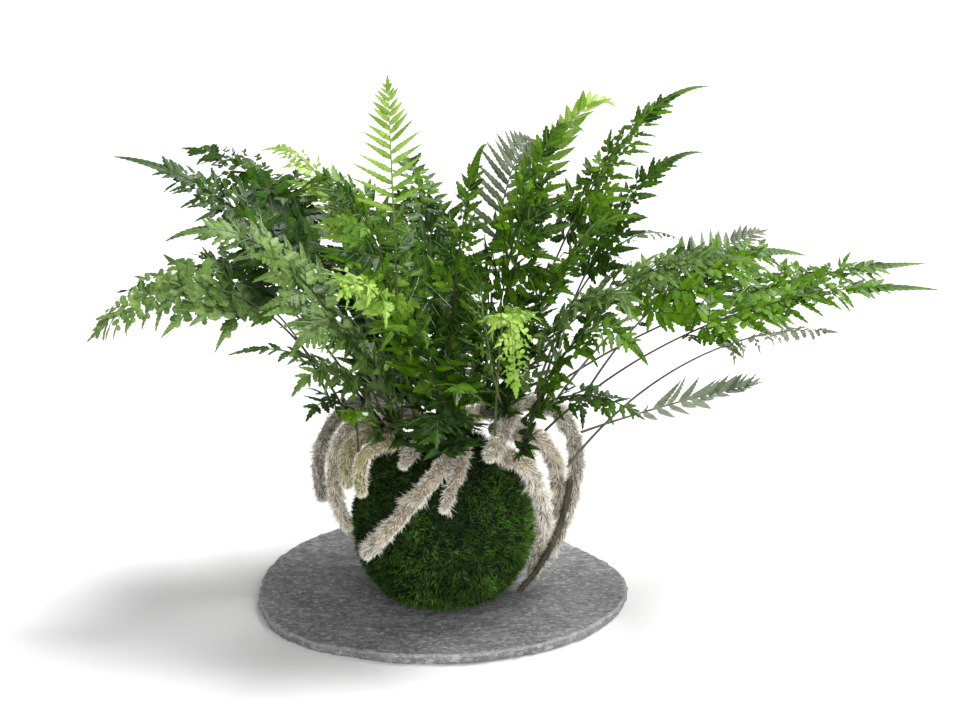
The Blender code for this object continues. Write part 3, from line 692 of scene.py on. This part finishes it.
def make_moss():
    """A lumpy ball with a flat foot, covered in strands that lie in tufts."""
    rng = np.random.default_rng(11)
    shape = Shape()
    low, high = -math.asin(BALL_FLAT / BALL_RADIUS), math.acos(CROWN_OPENING / BALL_RADIUS)
    angle = turns(MOSS_SECTORS)
    rings = []
    for height in np.linspace(low, high, MOSS_RINGS):
        ring = about_axis(math.cos(height), angle, math.sin(height))
        ring *= (BALL_RADIUS - MOSS_SKIN_DEPTH + MOSS_SWELL * lumps(ring, SWELL_SIZE, 12))[:, None]
        ring[:, 2] = np.maximum(ring[:, 2], -BALL_FLAT)
        rings.append(ring + BALL_CENTRE)
    rings.append(rings[-1] - (0, 0, MOSS_COLLAR))
    caps = np.stack((BALL_CENTRE - (0, 0, BALL_FLAT), rings[-1].mean(axis=0)))
    add_shell(shape, rings, caps, {"tone": 0.3, "along": 0.1}, {"tone": 0.3, "along": 0})

    out = ball_directions(STRANDS, math.sin(low) + 0.01, math.sin(high))
    out = unit(out + rng.normal(scale=0.006, size=out.shape))
    swell = lumps(out, SWELL_SIZE, 12)
    base = BALL_CENTRE + out * (BALL_RADIUS - MOSS_ROOT_DEPTH + MOSS_SWELL * swell)[:, None]
    lay = rng.normal(scale=0.45, size=out.shape) + 0.75 * lump_vectors(out, 0.1, 14) + (0, 0, -0.1)
    ahead = unit(out * 0.62 + lay)
    ahead = unit(ahead + out * np.clip(FLATTEST - np.sum(ahead * out, axis=1), 0, None)[:, None])
    length = rng.uniform(*STRAND_LENGTHS, STRANDS)
    # painted light: strands towards the lower right get a lighter tone, as if lit from there
    painted_light_low_right = out @ unit(np.array((0.45, -0.3, -0.55)))
    tone = 0.36 + 0.16 * lumps(out, 0.35, 13) + 0.22 * lumps(out, 0.06, 18, 2) + 0.16 * painted_light_low_right
    tone = np.clip(tone + rng.normal(scale=0.22, size=STRANDS), 0, 0.92)
    shaggy_and_shaded = np.clip((out[:, 2] - SHAGGY_SHADED_FROM) / SHAGGY_SHADED_SPAN, 0, 1)
    length *= 1 + 1.5 * shaggy_and_shaded * rng.random(STRANDS)
    # painted shade: strands high on the ball, under the foliage, get a darker tone
    tone *= 1 - 0.85 * shaggy_and_shaded
    tone[rng.random(STRANDS) < DRY_SHARE] = 1
    keep = (base + ahead * length[:, None])[:, 2] > PLATE_THICKNESS + GAP
    add_spikes(shape, base[keep], ahead[keep], length[keep], STRAND_HALF, tone[keep])
    piece(shape, "moss", [moss_finish()], "moss_cover", 60)


def make_soil():
    """The crumbly top of the soil, seen between the rhizomes, on a plain hidden core."""
    rng = np.random.default_rng(21)
    shape = Shape()
    inner = BALL_RADIUS - SOIL_DEPTH
    angle = turns(SOIL_SECTORS)
    low, high = -math.asin(0.85 * BALL_FLAT / inner), math.acos(CROWN_OPENING / inner)
    rings = [about_axis(inner * math.cos(height), angle, inner * math.sin(height))
             for height in np.linspace(low, high, SOIL_BALL_RINGS)]
    mound_share, mound_height = np.array(SOIL_MOUND).T
    for share in np.linspace(1, 0.06, SOIL_MOUND_RINGS):
        ring = about_axis((CROWN_OPENING - GAP) * share, angle, 0)
        height = np.interp(-share, -mound_share, mound_height)
        ring[:, 2] = BALL_RADIUS + height + 0.0006 * lumps(ring, 0.004, 22)
        rings.append(ring)
    rings = [ring + BALL_CENTRE for ring in rings]
    add_shell(shape, rings, np.stack((rings[0].mean(axis=0), rings[-1].mean(axis=0))), {}, {})

    radius = (CROWN_OPENING - 0.001) * np.sqrt(rng.random(CRUMBS))
    turn = rng.uniform(0, math.tau, CRUMBS)
    height = np.interp(-radius / (CROWN_OPENING - GAP), -mound_share, mound_height)
    base = about_axis(radius, turn, BALL_RADIUS + height - 0.0006) + BALL_CENTRE
    ahead = unit(rng.normal(size=(CRUMBS, 3)) + (0, 0, 1))
    add_spikes(shape, base, ahead, rng.uniform(*CRUMB_LENGTHS, CRUMBS), CRUMB_HALF, 0.5)
    piece(shape, "soil", [soil_finish()], "soil_core", 40)


# ---- Rhizomes ----

FUR_LOOKS = {
    # root colour (dark, as painted shade deep in the fur), tip colour, patches
    "cream": ((0.21, 0.165, 0.1), (0.98, 0.95, 0.85), (0.7, 0.62, 0.46)),
    "ashen": ((0.13, 0.112, 0.08), (0.88, 0.85, 0.74), (0.4, 0.355, 0.26)),
    "mossy": ((0.17, 0.14, 0.06), (0.92, 0.88, 0.66), (0.4, 0.38, 0.14)),
}
FUR_OF = {"right_outer": "ashen", "left_outer": "ashen", "back_left": "ashen", "left_front": "mossy",
          "left_near": "mossy"}
FUR_STEP = 0.0012  # spacing of the rings under the fur
RHIZOME_SIDES = 12
SKIN_SHARE, BARE_SKIN_SHARE = 0.86, 0.78
HAIRS_PER_AREA, HAIRS_PER_LENGTH = 1.15, 26  # furry, per mm2; bare, per mm
HAIR_LENGTHS = (0.0016, 0.0052)
SHORTEST_HAIR = 0.001
HAIR_HALF, BARE_HAIR_HALF = 0.00023, 0.00012
BARE_HAIR_SHARE, RIGHT_HAIR_SHARE = 0.75, 1.25  # of the usual lengths
TIP_HAIRS = 260
TIP_HAIR_LENGTHS = (0.0014, 0.003)
TIP_HAIR_HALF = 0.00021


def make_rhizome(number, name, radius, tip_radius, points, finishes):
    """Make a furry rhizome, and return the line and the radii that fronds stand on."""
    rng = np.random.default_rng(100 + number)
    bare = name.endswith("bare")
    line = smooth_route(points, FUR_STEP)
    size = np.linspace(radius, tip_radius, len(line))
    ahead = directions(line)
    length = lengths_along(line)
    from_end = np.minimum(length, length[-1] - length)
    skin = size * (BARE_SKIN_SHARE if bare else SKIN_SHARE) * (1 + 0.05 * lumps(line, 0.02, 200 + number))
    skin *= np.sqrt(np.clip(1 - (1 - np.minimum(from_end / size, 1)) ** 2, 0.03, 1))
    shape = Shape()
    body = np.vstack((line, line[-1] + ahead[-1] * size[-1] * 0.8))
    flat = 0.55 if bare else 0
    add_tube(shape, body, np.append(skin, 0.0004), RHIZOME_SIDES, tone=0.4, along=(flat, flat))

    density = HAIRS_PER_LENGTH if bare else HAIRS_PER_AREA * math.tau * radius * 1000
    count = int(length[-1] * 1000 * density)
    place = rng.random(count) * (len(line) - 1)
    index = place.astype(int)
    share = (place - index)[:, None]
    middle = line[index] * (1 - share) + line[index + 1] * share
    forward = ahead[index]
    out = turned_about(unit(np.cross(forward, ASKEW)), forward, rng.uniform(0, math.tau, count))
    base = middle + out * skin[index][:, None] * 0.92
    lie = rng.normal(scale=0.22, size=(count, 3)) + 0.42 * lump_vectors(base, 0.0045, 300 + 10 * number)
    lean = forward * rng.uniform(0.3, 1.2, count)[:, None]
    hair = rng.uniform(*HAIR_LENGTHS, count) * (1 + 0.5 * lumps(base, 0.006, 400 + number, 2))
    hair = np.maximum(hair, SHORTEST_HAIR)
    hair *= BARE_HAIR_SHARE if bare else RIGHT_HAIR_SHARE if "right" in name else 1
    tone = np.clip(rng.normal(0.52, 0.2, count) + 0.26 * lumps(base, 0.007, 500 + number, 2), 0, 1)
    add_spikes(shape, base, unit(out * 0.8 + lean + lie), hair, BARE_HAIR_HALF if bare else HAIR_HALF, tone)

    if bare:
        finish, slot = finishes["bark"], "rhizome_bark"
    else:
        finish, slot = finishes[FUR_OF.get(name, "cream")], "rhizome_fur"
        out = unit(rng.normal(size=(TIP_HAIRS, 3)))
        out *= np.where(out @ ahead[-1] < 0, -1, 1)[:, None]
        base = line[-1] + out * size[-1] * 0.55
        direction = unit(out + ahead[-1] * 0.5 + rng.normal(scale=0.2, size=(TIP_HAIRS, 3)))
        hair = rng.uniform(*TIP_HAIR_LENGTHS, TIP_HAIRS)
        add_spikes(shape, base, direction, hair, TIP_HAIR_HALF,
                   np.clip(rng.normal(0.6, 0.2, TIP_HAIRS), 0, 1))
    piece(shape, f"rhizome_{name}_fur", [finish], "rhizome_" + name, 60)
    coarse = smooth_route(points, RHIZOME_STEP)
    return coarse, np.linspace(radius, tip_radius, len(coarse))


# ---- Fronds ----

def scalloped(teeth, peak, depth, lean, foot, fall):
    """Return the outline of a blade with teeth, widest at the peak: rows as in PLAIN."""
    rows = []
    for k in range(teeth):
        for place, cut, forward in ((k, depth, 0.1), (k + 0.42, 0.1, 0.6 * lean), (k + 0.78, 0, lean)):
            place /= teeth
            body = foot + (1 - foot) * place / peak if place < peak else ((1 - place) / (1 - peak)) ** fall
            rows.append((place, max(0.06, body * (1 - cut)), forward))
    return np.array(rows + [(1, 0.05, 0)])


# outlines: share of the length, share of the half-width, lean of the edge towards the tip
PLAIN = np.array(((0, 0.5, 0), (0.32, 1, 0.2), (0.74, 0.82, 0.3), (1, 0.16, 0)))
THREE_LOBES = np.array((
    (0, 0.5, 0), (0.15, 0.98, 0.5), (0.29, 0.66, 0.15), (0.44, 0.96, 0.65), (0.57, 0.54, 0.15),
    (0.72, 0.74, 0.5), (0.86, 0.52, 0.15), (1, 0.12, 0)))
TWO_TEETH = scalloped(2, 0.3, 0.34, 0.35, 0.6, 0.55)
THREE_TEETH = scalloped(3, 0.28, 0.36, 0.4, 0.55, 0.55)
FOUR_TEETH = scalloped(4, 0.24, 0.38, 0.5, 0.5, 0.6)
EIGHT_TEETH = scalloped(8, 0.2, 0.34, 0.7, 0.6, 0.7)
LONG_TEETH = scalloped(12, 0.12, 0.34, 0.8, 0.7, 0.62)

VISIBLE_STIPE = 0.00085  # radius of a stalk at its root
STIPE_SIDES, STIPE_STRIDE = 6, 4  # the stride is in points of the midrib
RIB_RADII, RIB_SIDES, RIB_RINGS = (0.00042, 0.00012), 3, 7
THICK_RIB_PINNA = 0.02  # shorter pinnae have thinner ribs
ROUND_CURL = 0.2  # leaves that curl more have lobes instead of teeth
LEAFLET_ANGLES = (58, 38)  # to the rib, at a pinna's base and at its end
SHORTEST_LEAFLET = 0.0018
LEAFLET_STEPS = ((0.0085, 1), (0.0048, 0.0085), (0, 0.0048))  # lengths that share one outline
SHORTEST_PINNA = 0.0028
WIDEST_BLADE = 0.0034
WIDEST_POINT = 0.0036  # half-width of a pinna's own point
WIDEST_TIP = 0.0046  # half-width of a leaf's tip


def frond_root(line, radii, share):
    place = share * (len(line) - 1)
    index = min(int(place), len(line) - 2)
    step = line[index + 1] - line[index]
    ahead = unit(step)
    upward = unit(np.array((0, 0, 1)) - ahead[2] * ahead)
    return line[index] + step * (place - index) + upward * (radii[index] + STIPE_RADIUS + 2 * GAP)


def midrib(root, tip, arch, roll):
    """Return a midrib's points, and the directions ahead, aside and up at each."""
    chord = tip - root
    level = unit(np.array((chord[0], chord[1], 0)))
    rise = np.array((0, 0, arch))
    near = root + chord * STEEP_REACH + rise * STEEP_LIFT
    far = root + chord * BEND_REACH + rise * BEND_LIFT
    t = np.linspace(0, 1, CURVE_STEPS + 1)[:, None]
    u = 1 - t
    line = resample(root * u ** 3 + near * (3 * u * u * t) + far * (3 * u * t * t) + tip * t ** 3, RIB_STEP)
    left = np.cross((0, 0, 1), level)
    ahead = directions(line)
    side = unit(left - (ahead @ left)[:, None] * ahead)
    side = turned_about(side, ahead, math.radians(roll))
    return line, ahead, side, np.cross(ahead, side)


def add_stalk(shape, line, leafy):
    """Add the stalk, which thins towards the leaf, and the midrib that goes on from it."""
    last = len(line) - 1
    picks = np.append(np.arange(0, last, STIPE_STRIDE), last)
    share = picks / last
    stalk = 1 - 0.35 * share / (1 - leafy)
    rib = 0.65 * np.clip((1 - share) / leafy, 0, 1) ** 0.7 + 0.1
    radii = VISIBLE_STIPE * np.where(share < 1 - leafy, stalk, rib)
    add_tube(shape, line[picks], radii, STIPE_SIDES, STALK)


def add_pinna(shape, rng, base, ahead, upper, length, habit, tone):
    """Add one pinna: a fine rib that bears toothed leaflets on both sides and runs out in a toothed point."""
    stir, borne, tail = habit["stir"], habit["borne"], habit["tail"]
    bend = rng.normal(0.1, 0.05)
    droop = habit["droop"] + rng.normal(0, 0.06 * stir)
    sway = 0.5 * bend * rng.choice((-1, 1)) * np.cross(upper, ahead)
    u = np.linspace(0, 1, RIB_RINGS)[:, None]
    line = base + length * (u * ahead - droop * u * u * upper + u * u * sway)
    radii = np.linspace(*RIB_RADII, RIB_RINGS) * min(1, length / THICK_RIB_PINNA)
    add_tube(shape, line, radii, RIB_SIDES, STALK, tone, (0.5, 1))

    pairs = max(2, round(borne * length / habit["fine"]))
    places = (np.arange(pairs) + 0.22) / pairs * borne
    spacing = borne * length / pairs
    lobed = habit["curl"] > ROUND_CURL
    outlines = (THREE_LOBES, THREE_LOBES, PLAIN) if lobed else (FOUR_TEETH, THREE_TEETH, TWO_TEETH)
    for hand in (1, -1):
        at = np.clip(places + hand * 0.18 / pairs + rng.normal(0, 0.05 / pairs, pairs), 0.02, 0.98)
        spot = points_at(at, u[:, 0], line)
        tangent = unit(ahead - 2 * droop * at[:, None] * upper)
        normal = unit(upper - np.sum(upper * tangent, axis=1, keepdims=True) * tangent)
        normal = turned_about(normal, tangent, rng.normal(0, 0.18 * stir, pairs) + hand * 0.2)
        out = np.cross(normal, tangent) * hand
        angle = np.radians(np.linspace(*LEAFLET_ANGLES, pairs) + rng.normal(0, 4 * stir, pairs))
        direction = unit(tangent * np.cos(angle)[:, None] + out * np.sin(angle)[:, None])
        direction = unit(direction + normal * rng.normal(0.02, 0.1 * stir, pairs)[:, None])
        size = length * habit["reach"] * (1 - at) ** 0.9 * rng.uniform(0.85, 1.12, pairs)
        size = np.maximum(size, SHORTEST_LEAFLET)
        half = np.minimum(spacing * habit["fit"], size * 0.4)
        side = np.cross(normal, direction)
        shades = np.clip(tone + rng.normal(0, 0.1, pairs), 0, 1)
        curl = habit["curl"] + rng.normal(0, 0.1 * stir, pairs)
        for (low, high), outline in zip(LEAFLET_STEPS, outlines):
            pick = (size >= low) & (size < high)
            add_blades(shape, spot[pick], direction[pick], side[pick], size[pick], half[pick], outline,
                       shades[pick], curl[pick])

    spot = base + length * (tail * ahead - droop * tail ** 2 * upper + tail ** 2 * sway)
    tangent = unit(ahead - 2 * droop * tail * upper + 2 * tail * sway)
    point = (1.04 - tail) * length
    add_lance(shape, spot, tangent, upper, point, min(0.15 * point, WIDEST_POINT),
              EIGHT_TEETH if point > 0.015 else FOUR_TEETH, tone, droop)


def plain_pinna(length, habit):
    """Return the outline and half-width of a pinna that is a single blade."""
    if "fine" not in habit:
        half = min(0.6 * habit["fit"] * length + 0.0003, habit["fit"] * habit["step"])
        return EIGHT_TEETH if length > 0.012 else FOUR_TEETH, half
    half = min(0.21 * length + 0.0004, WIDEST_BLADE)
    if habit["curl"] > ROUND_CURL:
        return THREE_LOBES, 1.2 * half
    return FOUR_TEETH if length > 0.01 else THREE_TEETH if length > 0.005 else TWO_TEETH, half


def make_frond(number, grown, leaves, rhizome, share, tip, arch, leafy, half_width, roll, tint, habit_name):
    """Make one frond: its stalk and midrib, a pair of pinnae at each step of the leaf, and a toothed tip."""
    habit = dict(zip(HABIT_COLUMNS, HABITS[habit_name]))
    stir, skirt = habit["stir"], habit["skirt"]
    rng = np.random.default_rng(1000 + number)
    line, ahead, side, upper = midrib(frond_root(*grown[rhizome], share), np.array(tip), arch, roll)
    last = len(line) - 1
    start = round((1 - leafy) * last)
    leaf_length = (last - start) * RIB_STEP
    shape = Shape()
    add_stalk(shape, line, leafy)
    # painted light: fronds that reach far aside get a lighter tone, as if they stood in more light
    painted_light_tone = 0.5 + 1.1 * (abs(tip[0]) - 0.11)
    s = -skirt
    while s < 1 - 0.6 * habit["point"]:
        taper = min(1, 1 - s)
        for hand in (1, -1):
            wander = 0.22 * hand + rng.normal(0, 0.06)
            at = min(s + wander * habit["step"] * taper / leaf_length, 0.97)
            index = max(0, start + int(at * (last - start)))
            # 0 on the leaf, down to -1 at the foot of its skirt
            below = min(0, at) / max(skirt, 0.01)
            at = max(at, 0)
            angle = np.radians(habit["angle"]) * (0.62 + 0.38 * (1 - at)) + rng.normal(0, 0.05 * stir)
            width = half_width * (1 - at) ** habit["narrow"] * min(1, 0.86 + 1.4 * at)
            width = width * rng.uniform(0.88, 1.1) * (1 + 0.4 * below)
            length = width / math.sin(max(angle, 0.5))
            direction = ahead[index] * math.cos(angle) + side[index] * hand * math.sin(angle)
            direction = unit(direction + upper[index] * rng.normal(0.02, 0.09 * stir))
            normal = unit(upper[index] - (upper[index] @ direction) * direction)
            normal = turned_about(normal, direction, rng.normal(0, 0.22 * stir) + 0.12 * hand)
            # painted shade: pinnae low on the skirt, down by the crown, get a darker tone
            tone = np.clip(rng.normal(painted_light_tone, 0.19) + 0.5 * below, 0.02, 0.98)
            if length > habit.get("least", math.inf):
                add_pinna(shape, rng, line[index], direction, normal, length, habit, tone)
            elif length > SHORTEST_PINNA:
                outline, half = plain_pinna(length, habit)
                add_lance(shape, line[index], direction, normal, length, half, outline, tone,
                          habit["curl"] + rng.normal(0, 0.06 * stir))
        s += habit["step"] * (0.3 + 0.7 * taper) / leaf_length
    point = habit["point"] * leaf_length
    index = last - round(point / RIB_STEP)
    add_ribbon(shape, line[index:], upper[index:], min(0.1 * point + 0.0012, WIDEST_TIP),
               LONG_TEETH if point > 0.02 else FOUR_TEETH)
    piece(shape, f"fern_frond_{number:02d}", leaves[tint], f"frond_{number:02d}", 55)


# ---- Stage ----

FLOOR_REACH, FLOOR_HEIGHT = 9, -0.0002
WORLD_STRENGTH = 0.36
# name, where the light comes from, angle it spreads over (degrees), strength
LIGHTS = (
    ("key", (0.5, 0.34, 1.15), 28, 3.6),
    ("fill", (0.35, -1, 0.32), 40, 2.1),
)
CAMERA_AIM = (0.022, 0, 0.15)
CAMERA_DISTANCE = 1.25
CAMERA_RISE = 16  # degrees
CAMERA_LENS = 78


def make_stage():
    mesh = bpy.data.meshes.new("floor")
    corners = ((-1, -1), (1, -1), (1, 1), (-1, 1))
    mesh.from_pydata([(x * FLOOR_REACH, y * FLOOR_REACH, FLOOR_HEIGHT) for x, y in corners], [],
                     [(0, 1, 2, 3)])
    mesh.materials.append(floor_finish())
    floor = add_object("floor", mesh)

    world = bpy.data.worlds.new("studio")
    world.use_nodes = True
    background = world.node_tree.nodes["Background"]
    background.inputs["Color"].default_value = (1, 1, 1, 1)
    background.inputs["Strength"].default_value = WORLD_STRENGTH
    bpy.context.scene.world = world
    bpy.context.scene.view_settings.view_transform = "Standard"

    for name, place, spread, strength in LIGHTS:
        light = bpy.data.lights.new(name, "SUN")
        light.angle = math.radians(spread)
        light.energy = strength
        lamp = add_object(name, light)
        lamp.location = place
        lamp.rotation_euler = (-Vector(place)).to_track_quat("-Z", "Y").to_euler()

    camera = bpy.data.cameras.new("camera")
    camera.lens = CAMERA_LENS
    eye = add_object("camera", camera)
    rise = math.radians(CAMERA_RISE)
    x, y, z = CAMERA_AIM
    eye.location = (x, y - CAMERA_DISTANCE * math.cos(rise), z + CAMERA_DISTANCE * math.sin(rise))
    eye.rotation_euler = (math.radians(90 - CAMERA_RISE), 0, 0)
    bpy.context.scene.camera = eye


make_stage()
make_plate()
make_moss()
make_soil()
fur = {name: fur_finish("fur_" + name, *look) for name, look in FUR_LOOKS.items()}
fur["bark"] = bark_finish()
grown = {}
for number, row in enumerate(RHIZOMES):
    grown[row[0]] = make_rhizome(number, *row, fur)
leaves = {tint: (leaf_finish(tint), stalk_finish(tint)) for tint in TINTS}
for number, row in enumerate(FRONDS, start=1):
    make_frond(number, grown, leaves, *row)
